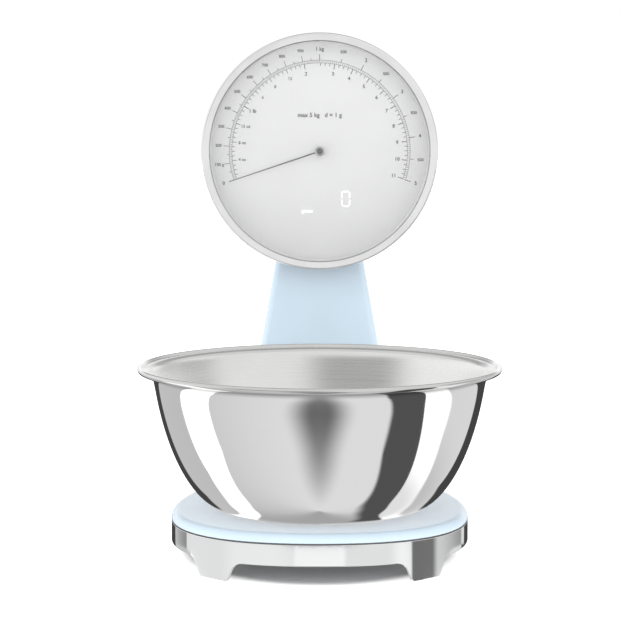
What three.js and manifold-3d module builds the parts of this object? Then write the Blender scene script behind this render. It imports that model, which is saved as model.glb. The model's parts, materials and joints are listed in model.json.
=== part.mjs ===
// A retro kitchen scale: a chromed base on four feet, a pastel weighing plate over a load cell,
// a steel mixing bowl, and a round dial head with a motor-driven needle on a hollow column.
//
// Millimetres, +Z up, the dial faces -Y. The origin is on the worktop, under the middle of the object.
// The default export is a THREE.Group with one named mesh for each separate piece. Everything is drawn from
// a datum plane that the feet hold STAND above the worktop, so heights below are heights above that plane.

import * as THREE from "three";
import { mergeVertices } from "three/addons/utils/BufferGeometryUtils.js";
import Module from "manifold-3d";

const wasm = await Module();
wasm.setup();

// ---------------------------------------------------------------- driving dimensions

const STAND = 1.2; // the datum plane's height above the worktop
const BOWL_Y = -28; // the bowl and the load cell stand this far forward of the middle
const GAP = 0.3; // between a piece and a neighbour that it is fitted to

const BASE = {
  halfWidth: 98,
  widestY: -26,
  frontY: -122.4,
  rearY: 132,
  top: 25.2, // upper edge of the chrome skirt
  bandBottom: 11.4, // lower edge of the skirt between the feet
  footBottom: -0.8, // the rubber feet stand out 0.4 below the chrome
  wall: 2.6,
  drawIn: [60.5, 100], // where the sides pass into the rounded rear
  frontArch: 57.5, // half-widths of the arches between the feet
  rearArch: 40,
  sideArch: 92,
};

const FOOT = {
  radius: 7,
  top: 12.1,
  places: { front_right: [66, -86], front_left: [-66, -86], rear_right: [45, 105], rear_left: [-45, 105] },
};

const PLATE = { bottom: 26.1, top: 31.7, edgeRadius: 5.6, skin: 1.7, cornerX: 52, cornerY: 79, rearY: 90 };

const CELL = { reach: 40, width: 12.7, bottom: 17.4, top: 25.4, screwX: [25, 35], wellX: 5, wellRadius: 2.7 };

const BOWL = { rimRadius: 120, rimZ: 124.5, beadRadius: 2, footRadius: 62, bottom: 31.8, wall: 1 };

const COLUMN = {
  bottom: 25.8,
  kneeZ: 34, // the front face stands upright up to here, and then leans back
  top: 245,
  topRadius: 8,
  halfWidthAtKnee: 58.1,
  taper: 0.1765, // half-width lost for each millimetre of height
  frontY: 91.6,
  frontLean: 0.1329,
  rearY: 131.2,
  rearMost: 148,
  wall: 2.3,
  splitY: 112, // where the front and rear shells meet, at the foot
  splitLean: 0.105,
};

const DOOR = { halfWidth: 26.6, bottom: 44.4, top: 99.6, hingeZ: 46.2, clearance: 0.4 };

const CELLS = { radius: 5.25, halfLength: 22.25, y: 119.5, firstZ: 54.5, pitch: 11.6, count: 4 };

const HEAD = { frontY: 95, z: 262.7, rimRadius: 84, bezelDepth: 15, rear: 35, wall: 2.4 };

const NEEDLE = {
  restAngle: 198.5, // anticlockwise from the right, as the dial is read
  tip: 68,
  rootHalf: 0.5, // half-widths of the blade at the hub and at its tip
  tipHalf: 0.25,
  hubRadius: 2.4,
  capRadius: 3.5,
  shaftRadius: 0.75,
  y: 9.5,
};

const BUTTONS = { names: ["tare", "unit", "mode"], pitch: 22, z: 42, radius: 5.2, flange: 6.3 };

const LOOKS = {
  chrome: { color: 0xe2e3e4, metalness: 1, roughness: 0.06 },
  steel: { color: 0xc9cac9, metalness: 1, roughness: 0.18 },
  pastel: { color: 0xbcd6ea, metalness: 0, roughness: 0.12 },
  dial: { color: 0xe6e6e6, metalness: 0, roughness: 0.45 },
  glass: { color: 0xf4f8fa, metalness: 0, roughness: 0.02, transparent: true, opacity: 0.25 },
  dark: { color: 0x2b2c2e, metalness: 0.2, roughness: 0.35 },
  rubber: { color: 0x1d1d1e, metalness: 0, roughness: 0.85 },
  grey: { color: 0x8b8e91, metalness: 0, roughness: 0.6 },
  board: { color: 0x1f6b43, metalness: 0, roughness: 0.5 },
  alloy: { color: 0xb9bcc0, metalness: 1, roughness: 0.35 },
  zinc: { color: 0xa9adb2, metalness: 1, roughness: 0.4 },
  cellJacket: { color: 0x33527e, metalness: 0.3, roughness: 0.35 },
  wire: { color: 0x26282b, metalness: 0, roughness: 0.6 },
};

// ---------------------------------------------------------------- geometry helpers

const at = (x, y) => new THREE.Vector2(x, y);

// A closed geometry as a manifold-3d solid whose faces point out.
function solidOf(geometry) {
  const loose = geometry.index ? geometry.toNonIndexed() : geometry;
  const bare = new THREE.BufferGeometry();
  bare.setAttribute("position", loose.getAttribute("position"));
  const merged = mergeVertices(bare, 1e-4);
  const corners = merged.index.array;
  const kept = [];
  for (let i = 0; i < corners.length; i += 3) {
    const [a, b, c] = [corners[i], corners[i + 1], corners[i + 2]];
    if (a !== b && b !== c && a !== c) {
      kept.push(a, b, c);
    }
  }
  const vertProperties = new Float32Array(merged.attributes.position.array);
  const make = (tris) =>
    new wasm.Manifold(new wasm.Mesh({ numProp: 3, vertProperties, triVerts: new Uint32Array(tris) }));
  const made = make(kept);
  if (made.volume() > 0) {
    return made;
  }
  return make(kept.toReversed());
}

function geometryOf(solid) {
  const mesh = solid.getMesh();
  const geometry = new THREE.BufferGeometry();
  geometry.setAttribute("position", new THREE.BufferAttribute(new Float32Array(mesh.vertProperties), 3));
  geometry.setIndex(new THREE.BufferAttribute(new Uint32Array(mesh.triVerts), 1));
  geometry.computeVertexNormals();
  return geometry;
}

const cut = (body, ...tools) => tools.reduce((left, tool) => left.subtract(solidOf(tool)), body);
const join = (...pieces) => pieces.map(solidOf).reduce((sum, piece) => sum.add(piece));

// A box between two corners.
function block([x0, y0, z0], [x1, y1, z1]) {
  const box = new THREE.BoxGeometry(x1 - x0, y1 - y0, z1 - z0);
  return box.translate((x0 + x1) / 2, (y0 + y1) / 2, (z0 + z1) / 2);
}

// A cylinder along +Z or along +Y.
function post(radius, z0, z1, x = 0, y = 0, sides = 16) {
  const cylinder = new THREE.CylinderGeometry(radius, radius, z1 - z0, sides);
  return cylinder.rotateX(Math.PI / 2).translate(x, y, (z0 + z1) / 2);
}

function pin(radius, y0, y1, x = 0, z = 0, sides = 16) {
  const cylinder = new THREE.CylinderGeometry(radius, radius, y1 - y0, sides);
  return cylinder.translate(x, (y0 + y1) / 2, z);
}

// A screw whose head and shank run along +Z, or along +Y; each span is [from, to].
function screwUp(x, y, headRadius, headSpan, shankRadius, shankSpan) {
  return join(post(headRadius, ...headSpan, x, y), post(shankRadius, ...shankSpan, x, y, 8));
}

function screwBack(x, z, headRadius, headSpan, shankRadius, shankSpan) {
  return join(pin(headRadius, ...headSpan, x, z), pin(shankRadius, ...shankSpan, x, z, 8));
}

// A flat shape drawn in X and Y, as thick as z0 to z1.
function slab(points, z0, z1, hole) {
  const shape = new THREE.Shape(points);
  if (hole) {
    shape.holes.push(new THREE.Path(hole));
  }
  return new THREE.ExtrudeGeometry(shape, { depth: z1 - z0, bevelEnabled: false }).translate(0, 0, z0);
}

// A shape drawn in X and Z that runs along Y, or drawn in Y and Z that runs along X.
function alongY(shape, y0, y1) {
  const made = new THREE.ExtrudeGeometry(shape, { depth: y1 - y0, bevelEnabled: false, curveSegments: 6 });
  return made.rotateX(Math.PI / 2).translate(0, y1, 0);
}

function alongX(shape, x0, x1) {
  const made = new THREE.ExtrudeGeometry(shape, { depth: x1 - x0, bevelEnabled: false, curveSegments: 6 });
  const turn = new THREE.Matrix4().makeBasis(
    new THREE.Vector3(0, 1, 0),
    new THREE.Vector3(0, 0, 1),
    new THREE.Vector3(1, 0, 0),
  );
  return made.applyMatrix4(turn).translate(x0, 0, 0);
}

// A profile of [radius, height] pairs turned about the Y axis; it closes on the axis or on itself.
function turned(profile, sides = 64) {
  const onAxis = profile[0][0] === 0 && profile.at(-1)[0] === 0;
  const closed = onAxis ? profile : [...profile, profile[0]];
  return new THREE.LatheGeometry(closed.map(([r, y]) => at(r, y)), sides);
}

const turnedUp = (profile, sides) => turned(profile, sides).rotateX(Math.PI / 2);

// Points of a curve as [x, y] pairs, without the last one.
const pairs = (curve, steps) => curve.getPoints(steps).slice(0, -1).map((p) => [p.x, p.y]);

// A stack of rings with the same number of points, closed at both ends with a fan round a middle point.
function loft(rings) {
  const count = rings[0].length;
  const middle = (ring) =>
    ring.reduce((sum, p) => sum.add(p), new THREE.Vector3()).divideScalar(count);
  const points = [...rings.flat(), middle(rings[0]), middle(rings.at(-1))];
  const last = (rings.length - 1) * count;
  const bottom = rings.length * count;
  const index = [];
  for (let i = 0; i < count; i += 1) {
    const j = (i + 1) % count;
    for (let row = 0; row < last; row += count) {
      index.push(row + i, row + j, row + j + count, row + i, row + j + count, row + i + count);
    }
    index.push(bottom, j, i, bottom + 1, last + i, last + j);
  }
  const geometry = new THREE.BufferGeometry().setFromPoints(points);
  geometry.setIndex(index);
  return geometry;
}

// A closed counter-clockwise outline moved inwards by a distance.
function inset(points, distance) {
  return points.map((p, i) => {
    const before = points[(i + points.length - 1) % points.length];
    const after = points[(i + 1) % points.length];
    const along = after.clone().sub(before).normalize();
    return at(p.x - along.y * distance, p.y + along.x * distance);
  });
}

// The right half of an outline, front to rear, and its mirror image.
function mirrored(half) {
  const left = half.slice(1, -1).reverse();
  return [...half, ...left.map((p) => at(-p.x, p.y))];
}

const withZ = (ring, z) => ring.map((p) => new THREE.Vector3(p.x, p.y, z));

// ---------------------------------------------------------------- the group

const scale = new THREE.Group();
const body = new THREE.Group();
body.position.z = STAND;
scale.add(body);
const head = new THREE.Group();
head.position.set(0, HEAD.frontY, HEAD.z);
body.add(head);

function place(name, shape, look, group = body) {
  const geometry = shape.isBufferGeometry ? shape : geometryOf(shape);
  const mesh = new THREE.Mesh(geometry, new THREE.MeshStandardMaterial(LOOKS[look]));
  mesh.name = name;
  group.add(mesh);
  return mesh;
}

// ---------------------------------------------------------------- base

// The plan of the base: a full round front, long sides that draw in, and a rounded rear.
const frontCurve = new THREE.CubicBezierCurve(
  at(0, BASE.frontY),
  at(0.733 * BASE.halfWidth, BASE.frontY),
  at(BASE.halfWidth, BASE.widestY - 0.556 * (BASE.widestY - BASE.frontY)),
  at(BASE.halfWidth, BASE.widestY),
);
const sideCurve = new THREE.CubicBezierCurve(
  at(BASE.halfWidth, BASE.widestY),
  at(BASE.halfWidth, 22),
  at(78.8, 50),
  at(...BASE.drawIn),
);
const rearCurve = new THREE.CubicBezierCurve(
  at(...BASE.drawIn),
  at(55, 115),
  at(44, BASE.rearY),
  at(0, BASE.rearY),
);

function baseOutline() {
  const front = frontCurve.getPoints(14);
  const side = sideCurve.getPoints(8).slice(1);
  const rear = rearCurve.getPoints(8).slice(1);
  return mirrored([...front, ...side, ...rear]);
}

// The arch under the skirt between two feet, with soft corners; half is its half-width at the ground.
function archShape(half, middle = 0) {
  const ground = BASE.footBottom;
  const top = BASE.bandBottom;
  const right = (x, z) => [middle + x, z];
  const left = (x, z) => [middle - x, z];
  const arch = new THREE.Shape();
  arch.moveTo(...left(half + 3, ground - 1));
  arch.lineTo(...right(half + 3, ground - 1));
  arch.lineTo(...right(half + 3, ground));
  arch.quadraticCurveTo(...right(half + 0.6, ground + 0.3), ...right(half - 0.4, ground + 3.1));
  arch.bezierCurveTo(...right(half - 2.5, top - 2), ...right(half - 5, top), ...right(half - 11, top));
  arch.lineTo(...left(half - 11, top));
  arch.bezierCurveTo(...left(half - 5, top), ...left(half - 2.5, top - 2), ...left(half - 0.4, ground + 3.1));
  arch.quadraticCurveTo(...left(half + 0.6, ground + 0.3), ...left(half + 3, ground));
  return arch;
}

function baseSkirt() {
  const outline = baseOutline();
  const ring = solidOf(slab(outline, BASE.footBottom, BASE.top, inset(outline, BASE.wall)));
  const frontArch = alongY(archShape(BASE.frontArch), -140, -80);
  const rearArch = alongY(archShape(BASE.rearArch), 105, 140);
  const sideArch = alongX(archShape(BASE.sideArch, -0.5), -120, 120);
  place("base_skirt", cut(ring, frontArch, rearArch, sideArch), "chrome");
}

const COVER = { bottom: 12.3, top: 14.3 };
const CHASSIS = { bottom: 14.6, top: 16.6 };
const COVER_SCREWS = [
  [38, -92],
  [-38, -92],
  [46, 62],
  [-46, 62],
];

function bottomCover() {
  const sheet = solidOf(slab(inset(baseOutline(), BASE.wall + 0.4), COVER.bottom, COVER.top));
  const holes = COVER_SCREWS.map(([x, y]) => post(1.8, COVER.bottom - 1, COVER.top + 1, x, y));
  place("bottom_cover", cut(sheet, ...holes), "grey");
  COVER_SCREWS.forEach(([x, y], i) => {
    const screw = screwUp(x, y, 3.2, [10.9, COVER.bottom], 1.5, [12, CHASSIS.top]);
    place(`cover_screw_${i + 1}`, screw, "zinc");
  });
}

function rubberFeet() {
  for (const [name, [x, y]] of Object.entries(FOOT.places)) {
    const height = FOOT.top + STAND;
    const profile = [
      [0, 0],
      [FOOT.radius - 1.6, 0],
      [FOOT.radius - 1, 0.8],
      [FOOT.radius, 3],
      [FOOT.radius, height],
      [0, height],
    ];
    const foot = place(`rubber_foot_${name}`, turnedUp(profile, 20), "rubber");
    foot.position.set(x, y, -STAND);
  }
}

const SPINE = { halfWidth: 13, footScrews: [[-8, 76], [8, 76]], headScrews: [-50, -34], thickness: 2 };

function chassis() {
  const floor = slab(inset(baseOutline(), 6), CHASSIS.bottom, CHASSIS.top);
  const boardPosts = [
    [-26, 28],
    [26, 28],
    [-26, 54],
    [26, 54],
  ].map(([x, y]) => post(2.6, CHASSIS.top - 0.5, 19.5, x, y, 12));
  const cellPad = block([-40, BOWL_Y - 7, CHASSIS.top - 0.5], [-20, BOWL_Y + 7, CELL.bottom - 0.05]);
  const body = join(floor, ...boardPosts, cellPad);
  const screwHoles = [...COVER_SCREWS, ...SPINE.footScrews].map(([x, y]) => post(1.8, 14, 18, x, y, 14));
  const fixedHoles = CELL.screwX.map((x) => post(1.7, 14, 18, -x, BOWL_Y, 14));
  const movingHoles = CELL.screwX.map((x) => post(4.2, 14, 18, x, BOWL_Y, 18));
  place("chassis", cut(body, ...screwHoles, ...fixedHoles, ...movingHoles), "grey");
}

// ---------------------------------------------------------------- load cell

function loadCell() {
  const half = CELL.width / 2;
  const low = [-CELL.reach, BOWL_Y - half, CELL.bottom];
  const high = [CELL.reach, BOWL_Y + half, CELL.top];
  const bar = solidOf(block(low, high));
  const middle = (CELL.bottom + CELL.top) / 2;
  const wells = [-1, 1].map((side) => pin(CELL.wellRadius, -50, 0, side * CELL.wellX, middle));
  const slot = block([-CELL.wellX, -50, middle - 1], [CELL.wellX, 0, middle + 1]);
  const holes = CELL.screwX.flatMap((x) => [x, -x]).map((x) => post(1.85, 10, 30, x, BOWL_Y, 16));
  place("load_cell", cut(bar, ...wells, slot, ...holes), "alloy");

  CELL.screwX.forEach((x, i) => {
    const screw = screwUp(-x, BOWL_Y, 2.8, [CELL.top, CELL.top + 1.8], 1.5, [14.9, CELL.top + 0.5]);
    place(`cell_screw_fixed_${i + 1}`, screw, "zinc");
  });
}

// ---------------------------------------------------------------- circuit board and wires in the base

function mainBoard() {
  const sheet = block([-30, 24, 19.6], [30, 58, 21.2]);
  const chip = block([-12, 32, 21], [0, 44, 22.4]);
  const header = block([12.5, 50, 21], [20.5, 57, 25.5]);
  const cellHeader = block([-27, 25, 21], [-19, 31, 24.5]);
  place("main_board", join(sheet, chip, header, cellHeader), "board");
}

// A round cable along a smooth line through points.
function cable(points, radius, steps) {
  const line = new THREE.CatmullRomCurve3(points.map(([x, y, z]) => new THREE.Vector3(x, y, z)));
  const corners = [0, 60, 120, 180, 240, 300].map((degrees) => {
    const angle = (degrees * Math.PI) / 180;
    return at(radius * Math.cos(angle), radius * Math.sin(angle));
  });
  const section = new THREE.Shape(corners);
  return new THREE.ExtrudeGeometry(section, { steps, bevelEnabled: false, extrudePath: line });
}

const LOOM = { x: 16.5, headZ: 215.5, radius: 1.5 };

function wires() {
  const loomPath = [
    [LOOM.x, 57.6, 23.4],
    [LOOM.x, 78, 22.4],
    [LOOM.x, 94, 22],
    [LOOM.x, 100.5, 30],
    [LOOM.x, 106, 60],
    [LOOM.x, 109, 100],
    [LOOM.x, 117, 150],
    [LOOM.x, 128, 185],
    [LOOM.x, 133, 200],
    [LOOM.x, 134.6, 208],
    [LOOM.x, 133, 214],
    [LOOM.x, 128, LOOM.headZ],
    [LOOM.x, 121, LOOM.headZ],
  ];
  place("wire_loom", cable(loomPath, LOOM.radius, 34), "wire");
  const cellPath = [
    [-40.4, BOWL_Y, 21.4],
    [-46, -26, 21],
    [-52, -8, 20],
    [-44, 14, 20.5],
    [-35, 26, 22.6],
    [-28, 28, 23],
  ];
  place("cell_cable", cable(cellPath, 1, 16), "wire");
}

// ---------------------------------------------------------------- weighing plate

function plateOutline() {
  const front = frontCurve.getPoints(14);
  const side = sideCurve.getPoints(12).slice(1).filter((p) => p.y < PLATE.cornerY);
  const edge = sideCurve.getPoints(60).find((p) => p.y >= PLATE.cornerY);
  const rear = at(PLATE.cornerX, PLATE.rearY);
  const corner = new THREE.QuadraticBezierCurve(edge, at(edge.x - 4, PLATE.rearY), rear);
  return mirrored([...front, ...side, ...corner.getPoints(6), at(0, PLATE.rearY)]);
}

function weighingPlate() {
  const outline = plateOutline();
  const rings = [];
  const roundFrom = PLATE.top - PLATE.edgeRadius;
  for (let step = 0; step <= 5; step += 1) {
    const angle = (step * Math.PI) / 10;
    const drawn = PLATE.edgeRadius * (1 - Math.cos(angle));
    rings.push(withZ(inset(outline, drawn), roundFrom + PLATE.edgeRadius * Math.sin(angle)));
  }
  const hollow = slab(inset(outline, 1.6 * PLATE.skin), PLATE.bottom - 5, PLATE.top - PLATE.skin);
  place("weighing_plate", cut(solidOf(loft(rings)), hollow), "pastel");
}

const BRACKET = { bottom: 28.2, top: 29.8 };

function plateBracket() {
  const bars = [-46, 46].map((y) =>
    block([-66, BOWL_Y + y - 8, BRACKET.bottom], [66, BOWL_Y + y + 8, BRACKET.top]),
  );
  const middle = block([-12, BOWL_Y - 46, BRACKET.bottom], [42, BOWL_Y + 46, BRACKET.top]);
  const cellPad = block([20, BOWL_Y - 7, CELL.top + 0.35], [40, BOWL_Y + 7, BRACKET.bottom + 0.5]);
  const holes = CELL.screwX.map((x) => post(1.8, 20, 32, x, BOWL_Y, 14));
  place("plate_bracket", cut(join(...bars, middle, cellPad), ...holes), "zinc");
  CELL.screwX.forEach((x, i) => {
    const screw = screwUp(x, BOWL_Y, 2.8, [15.4, 17.2], 1.5, [17, BRACKET.top]);
    place(`cell_screw_moving_${i + 1}`, screw, "zinc");
  });
}

// ---------------------------------------------------------------- bowl

function bowl() {
  const side = new THREE.CubicBezierCurve(
    at(BOWL.footRadius, BOWL.bottom),
    at(85.5, BOWL.bottom + 1.7),
    at(103, 74),
    at(109, 116),
  );
  const flare = new THREE.QuadraticBezierCurve(at(109, 116), at(110, 122.6), at(116.4, 123.4));
  const beadCentre = at(BOWL.rimRadius - BOWL.beadRadius, BOWL.rimZ);
  const bead = Array.from({ length: 8 }, (_, i) => {
    const angle = ((-110 + i * 40) * Math.PI) / 180;
    const reach = at(Math.cos(angle), Math.sin(angle)).multiplyScalar(BOWL.beadRadius);
    return [beadCentre.x + reach.x, beadCentre.y + reach.y];
  });
  const outside = [...side.getPoints(9), ...flare.getPoints(3).slice(1, -1)];
  const inside = outside
    .map((p, i) => {
      const before = outside[Math.max(i - 1, 0)];
      const after = outside[Math.min(i + 1, outside.length - 1)];
      const along = after.clone().sub(before).normalize();
      return [p.x - along.y * BOWL.wall, p.y + along.x * BOWL.wall];
    })
    .reverse();
  const profile = [
    [0, BOWL.bottom],
    ...outside.map((p) => [p.x, p.y]),
    ...bead.slice(0, 6),
    [115.6, 125.6],
    ...inside,
    [0, BOWL.bottom + BOWL.wall],
  ];
  const made = place("bowl", turnedUp(profile, 60), "steel");
  made.position.set(0, BOWL_Y, 0);
}

// ---------------------------------------------------------------- column

// Half-width, front and rear of the column at a height.
function columnSize(z) {
  const height = Math.max(0, z - COLUMN.kneeZ);
  const rearShare = Math.min(1, (z - COLUMN.bottom) / (COLUMN.top - COLUMN.topRadius - COLUMN.bottom));
  return {
    width: COLUMN.halfWidthAtKnee - COLUMN.taper * (z - COLUMN.kneeZ),
    front: COLUMN.frontY + COLUMN.frontLean * height,
    rear: COLUMN.rearY + (COLUMN.rearMost - COLUMN.rearY) * rearShare,
  };
}

// The section: a flat front with soft corners, and sides that sweep round to the rear.
function columnSection(z, distance = 0) {
  const { width, front, rear } = columnSize(z);
  const corner = 7;
  const sideStart = front + corner;
  const edge = new THREE.QuadraticBezierCurve(
    at(width - corner, front),
    at(width, front),
    at(width, sideStart),
  );
  const sweep = new THREE.CubicBezierCurve(
    at(width, sideStart),
    at(0.915 * width, sideStart + 0.5 * (rear - sideStart)),
    at(0.72 * width, rear),
    at(0, rear),
  );
  const half = [at(0, front), ...edge.getPoints(4), ...sweep.getPoints(9).slice(1)];
  return withZ(inset(mirrored(half), distance), z);
}

function columnSolid(distance, bottom) {
  const straight = [bottom, COLUMN.kneeZ, COLUMN.top - COLUMN.topRadius];
  const rings = straight.map((z) => columnSection(z, distance));
  const radius = COLUMN.topRadius - distance;
  for (let step = 1; step <= 4; step += 1) {
    const angle = (step * Math.PI) / 9;
    const z = COLUMN.top - COLUMN.topRadius + radius * Math.sin(angle);
    const ring = columnSection(COLUMN.top - COLUMN.topRadius, distance + radius * (1 - Math.cos(angle)));
    rings.push(ring.map((p) => new THREE.Vector3(p.x, p.y, z)));
  }
  return solidOf(loft(rings));
}

// Everything in front of the leaning plane where the two shells meet.
function frontHalf(shift) {
  const profile = new THREE.Shape([
    at(60, 0),
    at(COLUMN.splitY + shift - COLUMN.splitLean * COLUMN.bottom, 0),
    at(COLUMN.splitY + shift + COLUMN.splitLean * (260 - COLUMN.bottom), 260),
    at(60, 260),
  ]);
  return solidOf(alongX(profile, -90, 90));
}

const COLUMN_SCREWS = [
  [40, 36],
  [-40, 36],
];

// How far back the column's surface lies at a place on its rear.
function rearSurface(x, z) {
  const ring = columnSection(z).filter((p) => p.x >= 0 && p.y > columnSize(z).front + 12);
  const after = ring.findIndex((p) => p.x <= Math.abs(x));
  const [a, b] = [ring[after - 1], ring[after]];
  return a.y + ((b.y - a.y) * (a.x - Math.abs(x))) / (a.x - b.x);
}

// The dial head's rear housing as one solid, used to seat the column against it.
function headEnvelope() {
  const profile = [
    [0, HEAD.bezelDepth - 1],
    [HEAD.rimRadius + GAP, HEAD.bezelDepth - 1],
    ...shellCurve(GAP),
    [0, HEAD.rear + GAP],
  ];
  return turned(profile, 56).translate(0, HEAD.frontY, HEAD.z);
}

function columnShells() {
  const walls = columnSolid(0, COLUMN.bottom).subtract(columnSolid(COLUMN.wall, 20));
  const seated = cut(walls, headEnvelope());
  const bosses = COLUMN_SCREWS.map(([x, z]) => {
    const { front } = columnSize(z);
    const splitY = COLUMN.splitY + COLUMN.splitLean * (z - COLUMN.bottom);
    const boss = solidOf(pin(3.8, front + 1, splitY - 0.2, x, z));
    return cut(boss, pin(1.7, front + 5, 200, x, z, 12));
  });
  const front = bosses.reduce((sum, boss) => sum.add(boss), seated.intersect(frontHalf(0)));
  place("column_front", front, "pastel");

  const door = block([-DOOR.halfWidth, 115, DOOR.bottom], [DOOR.halfWidth, 160, DOOR.top]);
  const gap = DOOR.clearance;
  const window = block(
    [-DOOR.halfWidth - gap, 115, DOOR.bottom - gap],
    [DOOR.halfWidth + gap, 160, DOOR.top + gap],
  );
  const screwCuts = COLUMN_SCREWS.flatMap(([x, z]) => {
    const y = rearSurface(x, z);
    return [pin(3.5, y - 1.6, 160, x, z, 20), pin(1.8, 100, 160, x, z, 12)];
  });
  const seats = COLUMN_SCREWS.map(([x, z]) => {
    const y = rearSurface(x, z);
    return solidOf(pin(5, y - 4.5, y - 1, x, z, 20)).intersect(columnSolid(0, COLUMN.bottom));
  });
  const rear = seats.reduce((sum, seat) => sum.add(seat), seated.subtract(frontHalf(GAP)));
  place("column_rear", cut(rear, window, ...screwCuts), "pastel");

  COLUMN_SCREWS.forEach(([x, z], i) => {
    const y = rearSurface(x, z);
    const screw = screwBack(x, z, 3, [y - 1.5, y - 0.2], 1.4, [y - 26, y - 1]);
    place(`column_screw_${i + 1}`, screw, "zinc");
  });

  const doorWall = walls.intersect(solidOf(door));
  const finger = pin(9, 0, 2.4, 0, 0, 24).translate(0, rearSurface(0, DOOR.top) - 1.1, DOOR.top + 4.4);
  place("battery_door", cut(doorWall, finger), "pastel");
}

function spine() {
  const half = SPINE.thickness / 2;
  const line = [
    at(68, 17.9),
    at(94.6, 17.9),
    at(106.5, 105),
    at(131.4, 188),
    at(131.4, 236),
  ];
  // Each corner is offset along the mean of its two neighbours' normals.
  const offset = (distance) =>
    line.map((p, i) => {
      const before = line[Math.max(i - 1, 0)];
      const after = line[Math.min(i + 1, line.length - 1)];
      const normal = at(before.y - after.y, after.x - before.x).normalize();
      return p.clone().addScaledVector(normal, distance);
    });
  const outline = new THREE.Shape([...offset(-half), ...offset(half).reverse()]);
  const sheet = solidOf(alongX(outline, -SPINE.halfWidth, SPINE.halfWidth));
  const footHoles = SPINE.footScrews.map(([x, y]) => post(1.8, 10, 24, x, y, 14));
  const headHoles = SPINE.headScrews.map((z) => pin(1.9, 120, 140, 0, HEAD.z + z, 14));
  place("column_spine", cut(sheet, ...footHoles, ...headHoles), "zinc");
  SPINE.footScrews.forEach(([x, y], i) => {
    const screw = screwUp(x, y, 3, [18.95, 20.6], 1.5, [14.8, 19.2]);
    place(`spine_screw_${i + 1}`, screw, "zinc");
  });
  SPINE.headScrews.forEach((z, i) => {
    const screw = screwBack(0, z, 3, [37.45, 39], 1.5, [26, 37.8]);
    place(`head_mount_screw_${i + 1}`, screw, "zinc", head);
  });
}

// ---------------------------------------------------------------- battery bay in the column

function batteryBay() {
  const outer = solidOf(block([-26.2, 112, 47], [26.2, 126.4, 97.5]));
  place("battery_holder", cut(outer, block([-24.6, 113.6, 48.6], [24.6, 130, 96])), "dark");
  [-1, 1].forEach((side) => {
    const name = side < 0 ? "battery_contact_left" : "battery_contact_right";
    const x = side * (CELLS.halfLength + 1.2);
    place(name, block([x - 0.3, 114.5, 50], [x + 0.3, 124.5, 94]), "zinc");
  });
  for (let i = 0; i < CELLS.count; i += 1) {
    const end = i % 2 ? -1 : 1;
    const profile = [
      [0, -CELLS.halfLength],
      [CELLS.radius, -CELLS.halfLength],
      [CELLS.radius, CELLS.halfLength - 1.2],
      [1.9, CELLS.halfLength - 1.2],
      [1.9, CELLS.halfLength],
      [0, CELLS.halfLength],
    ];
    const cell = place(`battery_${i + 1}`, turned(profile, 16).rotateZ((-end * Math.PI) / 2), "cellJacket");
    cell.position.set(0, CELLS.y, CELLS.firstZ + i * CELLS.pitch);
  }
}

// ---------------------------------------------------------------- dial head, y = 0 at the bezel's front

// The dish-shaped back of the head, from its rim to its flat rear, moved out by a distance.
function shellCurve(distance) {
  const rim = HEAD.rimRadius - 1.2 + distance;
  const rear = HEAD.rear + distance;
  return pairs(
    new THREE.CubicBezierCurve(at(rim, HEAD.bezelDepth + GAP), at(rim - 0.5, 27), at(75, rear), at(58, rear)),
    6,
  ).concat([[58, rear]]);
}

const HEAD_SCREWS = [45, 135, 225, 315].map((degrees) => {
  const angle = (degrees * Math.PI) / 180;
  return [50 * Math.cos(angle), 50 * Math.sin(angle)];
});

function buttonX(i) {
  return (i - 1) * BUTTONS.pitch;
}

function headShell() {
  const outside = shellCurve(0).reverse();
  const inside = shellCurve(-HEAD.wall);
  const dish = solidOf(turned([[0, HEAD.rear], ...outside, ...inside, [0, HEAD.rear - HEAD.wall]], 56));
  const bosses = HEAD_SCREWS.map(([x, z]) => pin(4, 24.2, HEAD.rear - 1, x, z, 16));
  const shell = bosses.reduce((sum, boss) => sum.add(solidOf(boss)), dish);
  const holeRadius = BUTTONS.radius + GAP;
  const buttonHoles = BUTTONS.names.map((_, i) => pin(holeRadius, 30, 40, buttonX(i), BUTTONS.z, 20));
  const screwHoles = HEAD_SCREWS.flatMap(([x, z]) => {
    return [pin(1.8, 20, 40, x, z, 12), pin(3.4, 33.5, 40, x, z, 20)];
  });
  const mountHoles = SPINE.headScrews.map((z) => pin(1.8, 30, 40, 0, z, 12));
  const loomHole = pin(2.4, 30, 40, LOOM.x, LOOM.headZ - HEAD.z);
  place("head_shell", cut(shell, ...buttonHoles, ...screwHoles, ...mountHoles, loomHole), "pastel", head);
  HEAD_SCREWS.forEach(([x, z], i) => {
    const screw = screwBack(x, z, 3, [33.6, 34.9], 1.4, [19, 33.9]);
    place(`head_screw_${i + 1}`, screw, "zinc", head);
  });
}

function bezel() {
  const roundFront = new THREE.CubicBezierCurve(at(78, 3.4), at(78, -0.9), at(84, -1.4), at(84, 8));
  const profile = [
    ...roundFront.getPoints(8).map((p) => [p.x, p.y]),
    [HEAD.rimRadius, HEAD.bezelDepth],
    [81, HEAD.bezelDepth],
    [81, 3.7],
    [78.4, 3.7],
  ];
  place("bezel_ring", turned(profile, 72), "chrome", head);
}

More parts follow.
